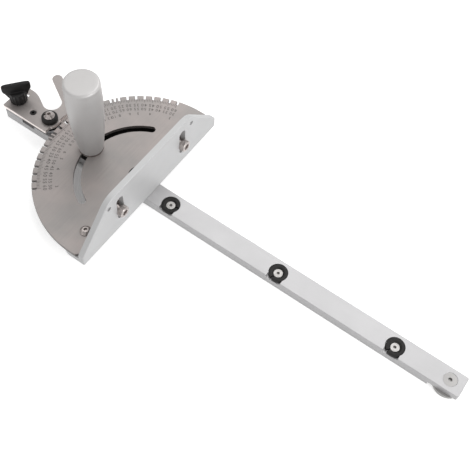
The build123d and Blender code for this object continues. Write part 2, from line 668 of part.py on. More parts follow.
def tooth_screws():
    """Two small countersunk screws, from below through the block into the lever."""
    bottom = LEVER_LEVEL - TOOTH_BLOCK_HEIGHT
    screws = []
    for x, y in tooth_screw_places():
        shank = rod(TOOTH_SCREW_RADIUS, bottom + 0.5, LEVER_LEVEL + TOOTH_SCREW_BITE, x, y)
        screws.append(shank + Pos(x, y, bottom) * tooth_screw_head(0))
    return Compound(children=screws)


def lever_grub_screw():
    """Headless socket screw in the lever, which the spring pushes on."""
    top = LEVER_TOP - GRUB_SUNK
    screw = rod(GRUB_RADIUS, top - GRUB_LENGTH, top, GRUB_X, GRUB_Y)
    return screw - hex_socket(GRUB_HEX, HEX_DEPTH, GRUB_X, GRUB_Y, top)


def spring_turns():
    """Turns of the coil, to where it is left straight for the grub screw's near side."""
    reach_x = GRUB_X - LEVER_PIVOT
    reach_y = GRUB_Y - SPRING_AIM
    to_screw = math.degrees(math.atan2(reach_y, reach_x)) % 360
    leaves = to_screw - math.degrees(math.acos(SPRING_RADIUS / math.hypot(reach_x, reach_y)))
    return SPRING_TURNS + (leaves + 90) / 360


def lever_spring():
    """Coil round the lever's bush: a leg at the grub screw and one bent down into the bar's pocket."""
    coil = Rot(0, 0, -90) * Helix(SPRING_PITCH, spring_turns() * SPRING_PITCH, SPRING_RADIUS)
    low_leg = Line(coil @ 0 - (coil % 0) * SPRING_LEG_LOW, coil @ 0)
    high_leg = Line(coil @ 1, coil @ 1 + (coil % 1) * SPRING_LEG)
    path = Wire([low_leg, coil, high_leg])
    section = Plane(origin=path @ 0, z_dir=path % 0) * RegularPolygon(SPRING_WIRE, 6)
    spring = sweep(section, path=path, is_frenet=True)
    end = path @ 0
    tail = Pos(end.X, end.Y, end.Z + SPRING_WIRE) * RegularPolygon(SPRING_WIRE, 6)
    spring += extrude(tail, amount=-SPRING_DIP - SPRING_WIRE)
    return Pos(LEVER_PIVOT, 0, BAR_HEIGHT + SPRING_LEVEL) * spring


def lever_bush():
    """Stepped bush on the bar: a broad foot and the spigot that the lever turns on."""
    bush = rod(LEVER_BUSH_RADIUS, BAR_HEIGHT, LEVER_LEVEL - RUNNING_GAP, LEVER_PIVOT)
    bush += rod(LEVER_SPIGOT_RADIUS, BAR_HEIGHT, KNOB_LEVEL, LEVER_PIVOT)
    return bush - rod(LEVER_SCREW_RADIUS + SHAFT_GAP, 0, KNOB_LEVEL + 1, LEVER_PIVOT)


def lever_collar():
    """Black nylon collar over the lever's pivot."""
    top = KNOB_LEVEL + COLLAR_HEIGHT
    collar = rod(COLLAR_RADIUS, KNOB_LEVEL, top, LEVER_PIVOT)
    collar = chamfer(collar.edges().sort_by(Axis.Z)[-1], COLLAR_EDGE)
    return collar - rod(LEVER_SCREW_RADIUS + HOLE_GAP, 0, top + 1, LEVER_PIVOT)


def lever_pivot_screw():
    """Button head screw through the collar and the bush into the bar."""
    seat = KNOB_LEVEL + COLLAR_HEIGHT
    return button_screw(LEVER_PIVOT, 0, seat, BLIND_FLOOR + TIP_GAP, LEVER_SCREW_RADIUS)


def lever_spacer():
    """Block on the bar that carries the lever under the thumb screw."""
    block = Pos(KNOB_X, 0) * Rectangle(SPACER_LENGTH, SPACER_WIDTH)
    spacer = prism(block, BAR_HEIGHT, LEVER_LEVEL - RUNNING_GAP)
    return spacer - rod(STUD_RADIUS + SHAFT_GAP, 0, LEVER_LEVEL + 1, KNOB_X)


def thumb_knob():
    """Moulded wing knob with a ribbed hub, whose wings slope down into the hub."""
    half = KNOB_SPAN / 2
    wing_low = KNOB_HEIGHT - KNOB_WING_DEPTH
    profile = make_face(
        Polyline(
            (-KNOB_HUB_RADIUS, KNOB_WING_ROOT),
            (KNOB_HUB_RADIUS, KNOB_WING_ROOT),
            (half, wing_low),
            (half, KNOB_HEIGHT),
            (-half, KNOB_HEIGHT),
            (-half, wing_low),
            (-KNOB_HUB_RADIUS, KNOB_WING_ROOT),
        )
    )
    profile = fillet(profile.vertices().sort_by(Axis.Y)[-4:], KNOB_CORNER)
    wing = extrude(Plane.XZ * profile, amount=KNOB_WING / 2, both=True)
    wing = chamfer(wing.edges().filter_by(GeomType.LINE).filter_by(Axis.X), KNOB_EDGE)
    hub = Cylinder(KNOB_HUB_RADIUS, KNOB_HUB_HEIGHT, align=ON_BASE)
    for index in range(KNOB_RIBS):
        rib = Box(2 * KNOB_RIB, KNOB_RIB_WIDTH, KNOB_HUB_HEIGHT - KNOB_EDGE, align=ON_BASE)
        hub += Rot(0, 0, 360.0 * index / KNOB_RIBS) * Pos(KNOB_HUB_RADIUS, 0, 0) * rib
    knob = Pos(KNOB_X, 0, KNOB_LEVEL) * Rot(0, 0, KNOB_ANGLE) * (wing + hub)
    return knob - rod(STUD_RADIUS + SHAFT_GAP, 0, KNOB_LEVEL + STUD_IN_KNOB, KNOB_X)


def thumb_stud():
    """Steel stud moulded into the knob, through the lever's slot into the bar."""
    return rod(STUD_RADIUS, BLIND_FLOOR + TIP_GAP, KNOB_LEVEL + STUD_IN_KNOB, KNOB_X)


def sub_parts():
    """Every piece of the gauge by its name."""
    pieces = {
        "miter_bar": miter_bar(),
        "t_slot_washer": t_slot_washer(),
        "t_slot_screw": t_slot_screw(),
        "pivot_bush": pivot_bush(),
        "pivot_washer": pivot_washer(),
        "pivot_screw": pivot_screw(),
        "protractor_plate": protractor_plate(),
        "fence_bracket": fence_bracket(),
        "handle": handle(),
        "handle_washer": handle_washer(),
        "handle_stud": handle_stud(),
        "lever_spacer": lever_spacer(),
        "lever_bush": lever_bush(),
        "lever_collar": lever_collar(),
        "lever_pivot_screw": lever_pivot_screw(),
        "lever_spring": lever_spring(),
        "lever_grub_screw": lever_grub_screw(),
        "stop_lever": stop_lever(),
        "stop_tooth": stop_tooth(),
        "tooth_screws": tooth_screws(),
        "thumb_knob": thumb_knob(),
        "thumb_stud": thumb_stud(),
    }
    for index, place in enumerate(disc_places(), start=1):
        pieces[f"expansion_disc_{index}"] = expansion_disc(place)
        pieces[f"expansion_screw_{index}"] = expansion_screw(place)
    for side, sign in (("left", 1), ("right", -1)):
        pieces[f"plate_screw_{side}"] = plate_screw(sign * PLATE_SCREW_Y)
        pieces[f"fence_bolt_{side}"] = fence_bolt(sign * BOLT_Y)
        pieces[f"fence_washer_{side}"] = fence_washer(sign * BOLT_Y)
        pieces[f"fence_nut_{side}"] = fence_nut(sign * BOLT_Y)
    return pieces


os.makedirs("parts", exist_ok=True)
for name, piece in sub_parts().items():
    export_step(piece, f"parts/{name}.step")
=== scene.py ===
"""Dresses the solid model of a table saw's miter gauge.

Every solid gets its finish. The engraved scale is added to the protractor plate, and the handle, the
wing knob, the bar's split discs and the fence's bolts and washers are built over their solids.

Lengths are in metres in Blender and in millimetres in the sizes that the classes hold. X runs
along the bar to its front end, Z is up, and the origin is under the head's pivot.
"""

from __future__ import annotations

import logging
import math
from collections.abc import Iterable
from dataclasses import dataclass
from enum import Enum

import bmesh
import bpy
from mathutils import Matrix, Vector

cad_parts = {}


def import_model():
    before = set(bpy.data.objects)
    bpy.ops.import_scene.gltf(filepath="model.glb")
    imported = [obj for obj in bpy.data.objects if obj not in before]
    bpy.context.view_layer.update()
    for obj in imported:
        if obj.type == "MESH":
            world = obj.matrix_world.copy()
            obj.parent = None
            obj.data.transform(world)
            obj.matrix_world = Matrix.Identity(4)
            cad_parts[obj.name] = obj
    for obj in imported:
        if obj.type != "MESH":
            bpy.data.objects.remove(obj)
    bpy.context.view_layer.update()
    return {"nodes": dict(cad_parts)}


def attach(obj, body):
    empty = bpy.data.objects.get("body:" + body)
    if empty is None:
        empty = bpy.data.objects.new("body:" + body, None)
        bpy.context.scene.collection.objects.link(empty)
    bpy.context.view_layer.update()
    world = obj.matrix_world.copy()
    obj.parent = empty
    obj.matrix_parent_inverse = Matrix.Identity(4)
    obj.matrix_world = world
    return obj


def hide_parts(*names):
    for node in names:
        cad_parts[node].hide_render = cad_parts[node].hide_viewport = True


LOG = logging.getLogger("miter_gauge")
MM = 0.001
# Points that are nearer than this count as one, in metres.
SAME_POINT = 1e-7
# Most of a noise's values lie between these.
NOISE_LOW, NOISE_HIGH = 0.3, 0.7
# Z part of a face's normal, up to which it counts as upright and from which it counts as level.
UPRIGHT_BELOW, LEVEL_ABOVE = 0.1, 0.5

Color = tuple[float, float, float]
Point = tuple[float, float, float]
Pair = tuple[float, float]
Socket = bpy.types.NodeSocket


class Grain(Enum):
    """Direction in which a metal surface was brushed or turned, as a stretch of its noise."""

    NONE = (1.0, 1.0, 1.0)
    ALONG_X = (0.02, 1.0, 1.0)
    ALONG_Y = (1.0, 0.02, 1.0)
    TURNED = (0.02, 0.02, 1.0)


class Body(str, Enum):
    """The gauge's bodies that pieces made here ride on."""

    BAR = "bar"
    HEAD = "head"
    HANDLE = "clamp_handle"
    KNOB = "knob"
    BOLT_LEFT = "bolt_left"
    BOLT_RIGHT = "bolt_right"


class TreeSketch:
    """A node tree, with short calls for the nodes that the finishes and the surroundings use."""

    def __init__(self, tree: bpy.types.NodeTree) -> None:
        """Empty the tree of a material or a world, to draw in it."""
        self.tree = tree
        tree.nodes.clear()

    def node(self, kind: str) -> bpy.types.Node:
        """Add a node of a kind."""
        return self.tree.nodes.new(kind)

    def link(self, start: Socket, end: Socket) -> None:
        """Join an output to an input."""
        self.tree.links.new(start, end)

    def combine(self, operation: str, first: Socket, second: Socket) -> Socket:
        """Combine two values.

        Args:
            operation: What is done with them, such as MAXIMUM.
            first: The first value.
            second: The second value.

        Returns:
            The result.
        """
        node = self.node("ShaderNodeMath")
        node.operation = operation
        self.link(first, node.inputs[0])
        self.link(second, node.inputs[1])
        return node.outputs[0]

    def ramp(self, value: Socket, low: float, high: float,
             start: float = 0.0, end: float = 1.0) -> Socket:
        """Map a value onto another range.

        Args:
            value: The socket to read.
            low: Result at the start of the range.
            high: Result at its end.
            start: Start of the range that is read.
            end: End of the range that is read.

        Returns:
            The mapped value.
        """
        node = self.node("ShaderNodeMapRange")
        for name, number in (("From Min", start), ("From Max", end), ("To Min", low), ("To Max", high)):
            node.inputs[name].default_value = number
        self.link(value, node.inputs["Value"])
        return node.outputs["Result"]

    def seen(self) -> Socket:
        """Tell the rays that show a surface from those that only bring light.

        Returns:
            A value of 1 for rays from the camera, in gloss and through glass, and 0 for the rest.
        """
        path = self.node("ShaderNodeLightPath")
        direct = self.combine("MAXIMUM", path.outputs["Is Camera Ray"], path.outputs["Is Glossy Ray"])
        return self.combine("MAXIMUM", direct, path.outputs["Is Transmission Ray"])


class MaterialSketch(TreeSketch):
    """A material's node tree, with the patterns that the finishes are made of."""

    def __init__(self, name: str) -> None:
        """Start a material that has only its surface shader.

        Args:
            name: The material's name.
        """
        self.material = bpy.data.materials.new(name)
        self.material.use_nodes = True
        super().__init__(self.material.node_tree)
        self.output = self.node("ShaderNodeOutputMaterial")
        self.surface = self.node("ShaderNodeBsdfPrincipled")
        self.link(self.surface.outputs["BSDF"], self.output.inputs["Surface"])
        self.place = self.node("ShaderNodeTexCoord").outputs["Object"]

    def feed(self, value: Socket, name: str) -> None:
        """Link a value to an input of the surface shader."""
        self.link(value, self.surface.inputs[name])

    def axis(self, name: str, vector: Socket | None = None) -> Socket:
        """Read one coordinate.

        Args:
            name: X, Y or Z.
            vector: The vector that it is taken from, which is the place if none is given.

        Returns:
            The coordinate.
        """
        split = self.node("ShaderNodeSeparateXYZ")
        self.link(self.place if vector is None else vector, split.inputs["Vector"])
        return split.outputs[name]

    def noise(self, scale: float, stretch: Point = (1.0, 1.0, 1.0), detail: float = 4.0) -> Socket:
        """Noise over the object's own coordinates.

        Args:
            scale: Waves per metre.
            stretch: Factor on each axis, small where the pattern runs long.
            detail: Octaves of the noise.

        Returns:
            The noise's factor socket.
        """
        mapping = self.node("ShaderNodeMapping")
        mapping.inputs["Scale"].default_value = stretch
        texture = self.node("ShaderNodeTexNoise")
        texture.inputs["Scale"].default_value = scale
        texture.inputs["Detail"].default_value = detail
        self.link(self.place, mapping.inputs["Vector"])
        self.link(mapping.outputs["Vector"], texture.inputs["Vector"])
        return texture.outputs["Fac"]

    def spread(self, pattern: Socket, low: float, high: float) -> Socket:
        """Map the range in which most of a noise's values lie onto another one."""
        return self.ramp(pattern, low, high, NOISE_LOW, NOISE_HIGH)

    def mix(self, factor: Socket | float, first: Socket | Color, second: Socket | Color,
            blend: str = "MIX") -> Socket:
        """Mix two colours.

        Args:
            factor: Share of the second colour.
            first: The colour at 0.
            second: The colour that is mixed in.
            blend: How it is mixed in.

        Returns:
            The mixed colour.
        """
        node = self.node("ShaderNodeMix")
        node.data_type = "RGBA"
        node.blend_type = blend
        for name, value in (("Factor", factor), ("A", first), ("B", second)):
            if isinstance(value, bpy.types.NodeSocket):
                self.link(value, node.inputs[name])
            else:
                node.inputs[name].default_value = value if name == "Factor" else (*value, 1.0)
        return node.outputs["Result"]

    def uprightness(self) -> Socket:
        """Tell upright faces from level ones.

        Returns:
            A value of 1 where the surface stands upright and 0 where it lies level.
        """
        normal = self.node("ShaderNodeNewGeometry").outputs["True Normal"]
        level = self.node("ShaderNodeMath")
        level.operation = "ABSOLUTE"
        self.link(self.axis("Z", normal), level.inputs[0])
        return self.ramp(level.outputs[0], 1.0, 0.0, UPRIGHT_BELOW, LEVEL_ABOVE)

    def openness(self, reach: float, samples: int = 12) -> Socket:
        """Tell open surfaces from those that lie in gaps or under other pieces.

        Args:
            reach: How far other surfaces count, in metres.
            samples: Rays for each point.

        Returns:
            A value of 1 in the open and 0 where the surface is closed in.
        """
        node = self.node("ShaderNodeAmbientOcclusion")
        node.samples = samples
        node.inputs["Distance"].default_value = reach
        return node.outputs["AO"]

    def emboss(self, height: Socket, depth: float, strength: float) -> None:
        """Give the surface a relief.

        Args:
            height: The height socket.
            depth: Depth of the relief in metres.
            strength: Share of the relief that shows.
        """
        node = self.node("ShaderNodeBump")
        node.inputs["Distance"].default_value = depth
        node.inputs["Strength"].default_value = strength
        self.link(height, node.inputs["Height"])
        self.feed(node.outputs["Normal"], "Normal")


def shade(color: Color, factor: float) -> Color:
    """Make a colour lighter or darker by a factor, with no part above 1."""
    return tuple(min(1.0, part * factor) for part in color)


@dataclass(frozen=True)
class MetalFinish:
    """A bare, brushed, turned or anodised metal surface, which can carry painted light and painted shade."""

    name: str
    color: Color
    metallic: float = 0.4
    roughness: float = 0.38
    grain: Grain = Grain.NONE
    grain_scale: float = 2600.0
    grain_depth: float = 0.000012
    grain_strength: float = 0.6
    smoother: float = 0.05
    rougher: float = 0.07
    mottle: float = 0.05
    mottle_scale: float = 38.0
    tint: Color = (1.0, 1.0, 1.0)
    # Factor on the colour of upright faces: a painted highlight above 1, painted shade below 1.
    painted_side_shading: float = 1.0
    side_metallic: float | None = None
    # Painted shade on a stretch of the top along X: its start and end in metres, soft edge, strength,
    # colour, and the gloss outside and inside it.
    painted_shade_span: Pair | None = None
    painted_shade_edge: float = 0.003
    painted_shade_share: float = 0.9
    painted_shade_color: Color = (0.02, 0.019, 0.018)
    unshaded_gloss: float = 0.5
    painted_shade_gloss: float = 0.02

    def material(self) -> bpy.types.Material:
        """Build the finish's node material.

        Returns:
            The material, with mottled colour, uneven roughness, fine grain and its painted light and shade.
        """
        sketch = MaterialSketch(self.name)
        clouds = sketch.spread(sketch.noise(self.mottle_scale, detail=3.0), 0.0, 1.0)
        tinted = tuple(part * (1 + self.mottle) * tone for part, tone in zip(self.color, self.tint))
        hue = sketch.mix(clouds, shade(self.color, 1 - self.mottle), tinted)
        grain = sketch.noise(self.grain_scale, self.grain.value, detail=2.0)
        streaks = sketch.mix(1.0, hue, sketch.spread(grain, 1 - self.mottle, 1.0), "MULTIPLY")
        upright = sketch.uprightness()
        # Upright faces get their colour times the painted side factor: a painted highlight above 1, painted
        # shade below 1.
        shown = sketch.mix(upright, streaks, (self.painted_side_shading,) * 3, "MULTIPLY")
        if self.painted_shade_span is not None:
            shown = self.paint_shade_under_head(sketch, shown)
        sketch.feed(shown, "Base Color")
        rough = sketch.spread(grain, self.roughness - self.smoother, self.roughness + self.rougher)
        sketch.feed(rough, "Roughness")
        side_metallic = self.metallic if self.side_metallic is None else self.side_metallic
        sketch.feed(sketch.ramp(upright, self.metallic, side_metallic), "Metallic")
        sketch.emboss(grain, self.grain_depth, self.grain_strength)
        return sketch.material

    def paint_shade_under_head(self, sketch: MaterialSketch, color: Socket) -> Socket:
        """Paint shade on the stretch of the top along X where the head's plate and handle keep light off it.

        Args:
            sketch: The material being made.
            color: The surface's colour without the painted shade.

        Returns:
            The colour with its painted shade.
        """
        start, end = self.painted_shade_span
        along = sketch.axis("X")
        begun = sketch.ramp(along, 0.0, 1.0, start - self.painted_shade_edge, start)
        going = sketch.ramp(along, 1.0, 0.0, end, end + self.painted_shade_edge)
        on_top = sketch.ramp(sketch.uprightness(), self.painted_shade_share, 0.0)
        dark = sketch.combine("MULTIPLY", sketch.combine("MINIMUM", begun, going), on_top)
        # The painted shade also takes the gloss off that stretch.
        gloss = sketch.ramp(dark, self.unshaded_gloss, self.painted_shade_gloss, 0.0, self.painted_shade_share)
        sketch.feed(gloss, "Specular IOR Level")
        return sketch.mix(dark, color, self.painted_shade_color)


@dataclass(frozen=True)
class MouldedFinish:
    """A moulded or turned plastic surface."""

    name: str
    color: Color
    roughness: float = 0.5
    smoother: float = 0.06
    rougher: float = 0.08
    speckle: float = 0.25
    speckle_scale: float = 90.0
    pebble_scale: float = 1500.0
    pebble_depth: float = 0.00002
    pebble_strength: float = 0.5
    gloss: float = 0.5

    def material(self) -> bpy.types.Material:
        """Build the finish's node material.

        Returns:
            The material, with a fine pebbled relief and slightly uneven sheen.
        """
        sketch = MaterialSketch(self.name)
        clouds = sketch.spread(sketch.noise(self.speckle_scale, detail=3.0), 0.0, 1.0)
        first, second = shade(self.color, 1 - self.speckle), shade(self.color, 1 + self.speckle)
        sketch.feed(sketch.mix(clouds, first, second), "Base Color")
        sketch.surface.inputs["Specular IOR Level"].default_value = self.gloss
        pebbles = sketch.noise(self.pebble_scale, detail=2.0)
        rough = sketch.spread(pebbles, self.roughness - self.smoother, self.roughness + self.rougher)
        sketch.feed(rough, "Roughness")
        sketch.emboss(pebbles, self.pebble_depth, self.pebble_strength)
        return sketch.material


@dataclass(frozen=True)
class InkFinish:
    """Dark fill in engraved lines and figures."""

    name: str
    color: Color
    roughness: float = 0.7
    worn_scale: float = 260.0
    worn_range: Pair = (0.4, 0.75)
    worn_gain: float = 1.5

    def material(self) -> bpy.types.Material:
        """Build the finish's node material.

        Returns:
            The material, slightly worn in patches.
        """
        sketch = MaterialSketch(self.name)
        worn = sketch.ramp(sketch.noise(self.worn_scale), 0.0, 1.0, *self.worn_range)
        sketch.feed(sketch.mix(worn, self.color, shade(self.color, self.worn_gain)), "Base Color")
        sketch.surface.inputs["Roughness"].default_value = self.roughness
        return sketch.material


# The bar's top gets painted shade where it lies under the head's plate, near the handle.
BAR_FINISH = MetalFinish(
    "bar_drawn_aluminium", (0.51, 0.505, 0.51), 0.3, 0.38, Grain.ALONG_X,
    mottle=0.03, painted_shade_span=(-0.073, -0.042),
)
FENCE_FINISH = MetalFinish("fence_anodised", (0.59, 0.59, 0.593), 0.2, 0.52, Grain.ALONG_Y, mottle=0.025)
# The plate's upright faces, which are the rim and the walls of the notches and the slot, get painted shade.
PLATE_FINISH = MetalFinish(
    "plate_stainless", (0.385, 0.364, 0.352), 0.3, 0.42, Grain.ALONG_Y, 1700.0,
    mottle=0.11, mottle_scale=30.0, tint=(1.03, 0.965, 0.955), painted_side_shading=0.48,
)
# The lever's upright faces get a painted highlight, and are more metallic than its top.
LEVER_FINISH = MetalFinish(
    "lever_stainless", (0.397, 0.364, 0.35), 0.4, 0.36, Grain.ALONG_X,
    mottle=0.08, painted_side_shading=2.3, side_metallic=0.8,
)
HANDLE_FINISH = MetalFinish(
    "handle_turned", (0.585, 0.572, 0.565), 0.3, 0.42, Grain.TURNED, 1800.0, mottle=0.03,
)
STEEL_FINISH = MetalFinish(
    "fastener_steel", (0.40, 0.362, 0.348), 0.95, 0.2, Grain.NONE, mottle=0.38, mottle_scale=420.0,
)
PALE_STEEL_FINISH = MetalFinish(
    "pale_steel", (0.41, 0.397, 0.386), 0.6, 0.34, Grain.NONE, mottle=0.2, mottle_scale=420.0,
)
GREY_STEEL_FINISH = MetalFinish("grey_steel", (0.37, 0.362, 0.355), 0.5, 0.36, Grain.TURNED, mottle=0.1)
BOLT_FINISH = MetalFinish(
    "bolt_steel", (0.54, 0.49, 0.47), 0.7, 0.28, Grain.NONE, mottle=0.3, mottle_scale=420.0,
)
SPRING_FINISH = MetalFinish("spring_wire", (0.42, 0.42, 0.43), 0.8, 0.28, Grain.NONE)
BRASS_FINISH = MetalFinish("bush_brass", (0.58, 0.42, 0.18), 0.8, 0.3, Grain.TURNED)
BLACK_STEEL_FINISH = MetalFinish("black_oxide", (0.020, 0.019, 0.019), 0.3, 0.46, Grain.NONE, mottle=0.2)
NYLON_FINISH = MouldedFinish("black_nylon", (0.011, 0.0102, 0.0098), 0.5, gloss=0.25)
KNOB_FINISH = MouldedFinish("knob_plastic", (0.009, 0.0085, 0.0085), 0.45, pebble_scale=1100.0, gloss=0.26)
INK_FINISH = InkFinish("scale_ink", (0.12, 0.112, 0.108))

NODE_FINISHES: dict[MetalFinish | MouldedFinish, tuple[str, ...]] = {
    BAR_FINISH: ("miter_bar", "lever_spacer"),
    FENCE_FINISH: ("fence_bracket",),
    PLATE_FINISH: ("protractor_plate",),
    LEVER_FINISH: ("stop_lever", "stop_tooth"),
    HANDLE_FINISH: ("handle",),
    STEEL_FINISH: (
        "tooth_screws", "lever_pivot_screw", "handle_washer", "handle_stud", "thumb_stud", "pivot_washer",
        "plate_screw_left", "plate_screw_right", "fence_washer_left", "fence_washer_right",
        "fence_nut_left", "fence_nut_right",
    ),
    BOLT_FINISH: ("fence_bolt_left", "fence_bolt_right"),
    PALE_STEEL_FINISH: ("expansion_screw_1", "expansion_screw_2", "expansion_screw_3"),
    GREY_STEEL_FINISH: ("t_slot_screw", "t_slot_washer"),
    SPRING_FINISH: ("lever_spring",),
    BRASS_FINISH: ("pivot_bush",),
    BLACK_STEEL_FINISH: ("pivot_screw", "lever_grub_screw"),
    NYLON_FINISH: ("expansion_disc_1", "expansion_disc_2", "expansion_disc_3", "lever_bush", "lever_collar"),
    KNOB_FINISH: ("thumb_knob",),
}


def object_from(mesh: bmesh.types.BMesh, name: str, material: bpy.types.Material) -> bpy.types.Object:
    """Turn a bmesh into a scene object with one material.

    Args:
        mesh: The geometry, in metres. It is freed.
        name: The object's name.
        material: The material of all its faces.

    Returns:
        The linked object.
    """
    data = bpy.data.meshes.new(name)
    bmesh.ops.recalc_face_normals(mesh, faces=mesh.faces)
    mesh.to_mesh(data)
    mesh.free()
    data.materials.append(material)
    made = bpy.data.objects.new(name, data)
    bpy.context.scene.collection.objects.link(made)
    return made


def shade_by_angle(piece: bpy.types.Object, degrees: float) -> None:
    """Smooth a piece's faces, and keep its edges sharp above an angle.

    Args:
        piece: The object to shade.
        degrees: Angle between faces above which an edge is sharp.
    """
    mesh = bmesh.new()
    mesh.from_mesh(piece.data)
    for face in mesh.faces:
        face.smooth = True
    for edge in mesh.edges:
        if len(edge.link_faces) == 2:
            edge.smooth = edge.calc_face_angle(0.0) < math.radians(degrees)
    mesh.to_mesh(piece.data)
    mesh.free()


def bake_modifiers(piece: bpy.types.Object) -> None:
    """Replace a piece's mesh by what its modifiers make of it.

    Args:
        piece: The object, which keeps no modifiers.
    """
    graph = bpy.context.evaluated_depsgraph_get()
    data = bpy.data.meshes.new_from_object(piece.evaluated_get(graph))
    piece.modifiers.clear()
    piece.data = data


def full_turn(count: int) -> list[float]:
    """Divide a full turn into a number of angles in radians."""
    return [2 * math.pi * index / count for index in range(count)]


def round_z(centre: Point, radius: float, angle: float, height: float = 0.0) -> Vector:
    """Find a point in metres round an upright axis, from sizes in millimetres and an angle from X."""
    x, y, level = centre
    return Vector((x + radius * math.cos(angle), y + radius * math.sin(angle), level + height)) * MM


def round_x(centre: Point, radius: float, angle: float) -> Vector:
    """Find a point in metres round an axis along X, from sizes in millimetres and an angle from Y."""
    x, y, level = centre
    return Vector((x, y + radius * math.cos(angle), level + radius * math.sin(angle))) * MM


def hexagon_reach(half_width: float, angle: float) -> float:
    """Find the distance from a hexagon's middle to its side at an angle."""
    return half_width / math.cos(angle % (math.pi / 3) - math.pi / 6)


def add_rings(mesh: bmesh.types.BMesh, rings: list[list[Vector]], capped: bool = True) -> None:
    """Skin a stack of rings that have the same number of points.

    Args:
        mesh: The mesh to add to.
        rings: Each ring's points, in order round it.
        capped: Whether the first and last rings are closed by a face.
    """
    rows = [[mesh.verts.new(point) for point in ring] for ring in rings]
    for low, high in zip(rows, rows[1:]):
        count = len(low)
        for index in range(count):
            after = (index + 1) % count
            mesh.faces.new((low[index], low[after], high[after], high[index]))
    if capped:
        mesh.faces.new(list(reversed(rows[0])))
        mesh.faces.new(rows[-1])


def place_solid_finishes(nodes: dict[str, bpy.types.Object]) -> dict[str, bpy.types.Material]:
    """Give every solid of the model its finish.

    Args:
        nodes: The model's objects by node name.

    Returns:
        The materials by the finish's name.
    """
    made: dict[str, bpy.types.Material] = {}
    for finish, names in NODE_FINISHES.items():
        material = finish.material()
        made[finish.name] = material
        for name in names:
            data = nodes[name].data
            if not data.materials:
                data.materials.append(material)
            for index in range(len(data.materials)):
                data.materials[index] = material
            LOG.info("finish %s on %s", finish.name, name)
    return made


# Sides of the frame that pieces cut at each angle make, as the third row of figures shows them.
FRAME_SIDES = {
    0.0: "2", 10.0: "18", 15.0: "12", 18.0: "10", 22.5: "8", 30.0: "6", 36.0: "5", 45.0: "4", 60.0: "3",
}


@dataclass
class EngravedScale:
    """Ticks and rows of figures on the protractor plate, in millimetres and degrees."""

    top: float = 17.55
    lift: float = 0.012
    zero_bearing: float = 15.0
    reach: int = 60
    figure_step: int = 5
    tick_outer: float = 84.0
    tick_short: float = 2.6
    tick_long: float = 3.8
    tick_width: float = 0.42
    angle_row: float = 77.4
    angle_size: float = 3.3
    complement_row: float = 72.9
    complement_size: float = 3.0
    sides_row: float = 67.8
    sides_size: float = 2.8
    letter_pitch: float = 1.28
    stroke_growth: float = 0.05
    font_size: float = 1.35
    curve_steps: int = 3

    def spot(self, radius: float, bearing: float) -> Vector:
        """Find a point just above the plate's top, at a radius and a bearing from the bar's rear."""
        angle = math.radians(bearing)
        return Vector((-radius * math.cos(angle), radius * math.sin(angle), self.top + self.lift)) * MM

    def ticks(self, material: bpy.types.Material) -> bpy.types.Object:
        """Build one line for each degree, longer at every fifth.

        Args:
            material: The ink.

        Returns:
            The object that holds all the lines.
        """
        mesh = bmesh.new()
        for degree in range(-self.reach, self.reach + 1):
            bearing = self.zero_bearing + degree
            inner = self.tick_outer - (self.tick_short if degree % self.figure_step else self.tick_long)
            half = math.degrees(self.tick_width / 2 / self.tick_outer)
            line = ((self.tick_outer, -half), (self.tick_outer, half), (inner, half), (inner, -half))
            mesh.faces.new([mesh.verts.new(self.spot(radius, bearing + aside)) for radius, aside in line])
        bmesh.ops.remove_doubles(mesh, verts=mesh.verts, dist=SAME_POINT)
        return object_from(mesh, "scale_ticks", material)

    def figure(self, text: str, size: float, radius: float, bearing: float, mesh: bmesh.types.BMesh) -> None:
        """Add one figure, its head towards the pivot, to a mesh.

        Args:
            text: The digits.
            size: Their height in millimetres.
            radius: Radius of the row's middle.
            bearing: Bearing of the figure's middle.
            mesh: The mesh that it is added to.
        """
        curve = bpy.data.curves.new("figure_outline", "FONT")
        curve.body = text
        curve.size = size * self.font_size * MM
        curve.align_x = "CENTER"
        curve.align_y = "CENTER"
        curve.resolution_u = self.curve_steps
        curve.offset = self.stroke_growth * MM
        curve.space_character = self.letter_pitch
        holder = bpy.data.objects.new("figure_outline", curve)
        bpy.context.scene.collection.objects.link(holder)
        bpy.context.view_layer.update()
        flat = bpy.data.meshes.new_from_object(holder)
        turned = Matrix.Rotation(math.radians(-90.0 - bearing), 4, "Z")
        flat.transform(Matrix.Translation(self.spot(radius, bearing)) @ turned)
        mesh.from_mesh(flat)
        bpy.data.objects.remove(holder)
        bpy.data.curves.remove(curve)
        bpy.data.meshes.remove(flat)

    def figures(self, material: bpy.types.Material) -> bpy.types.Object:
        """Build the figures: each angle, what it leaves of 90, and the sides of the frame that it cuts.

        Args:
            material: The ink.

        Returns:
            The object that holds all the figures.
        """
        mesh = bmesh.new()
        for angle in range(0, self.reach + 1, self.figure_step):
            for side in ((-1, 1) if angle else (1,)):
                bearing = self.zero_bearing + side * angle
                self.figure(f"{angle:02d}", self.angle_size, self.angle_row, bearing, mesh)
                self.figure(f"{90 - angle:02d}", self.complement_size, self.complement_row, bearing, mesh)
        for angle, text in FRAME_SIDES.items():
            for side in ((-1, 1) if angle else (1,)):
                self.figure(text, self.sides_size, self.sides_row, self.zero_bearing + side * angle, mesh)
        return object_from(mesh, "scale_figures", material)

    def build(self, material: bpy.types.Material) -> list[bpy.types.Object]:
        """Build the scale on the head.

        Args:
            material: The ink.

        Returns:
            Its pieces.
        """
        made = [self.ticks(material), self.figures(material)]
        for piece in made:
            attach(piece, Body.HEAD.value)
        return made


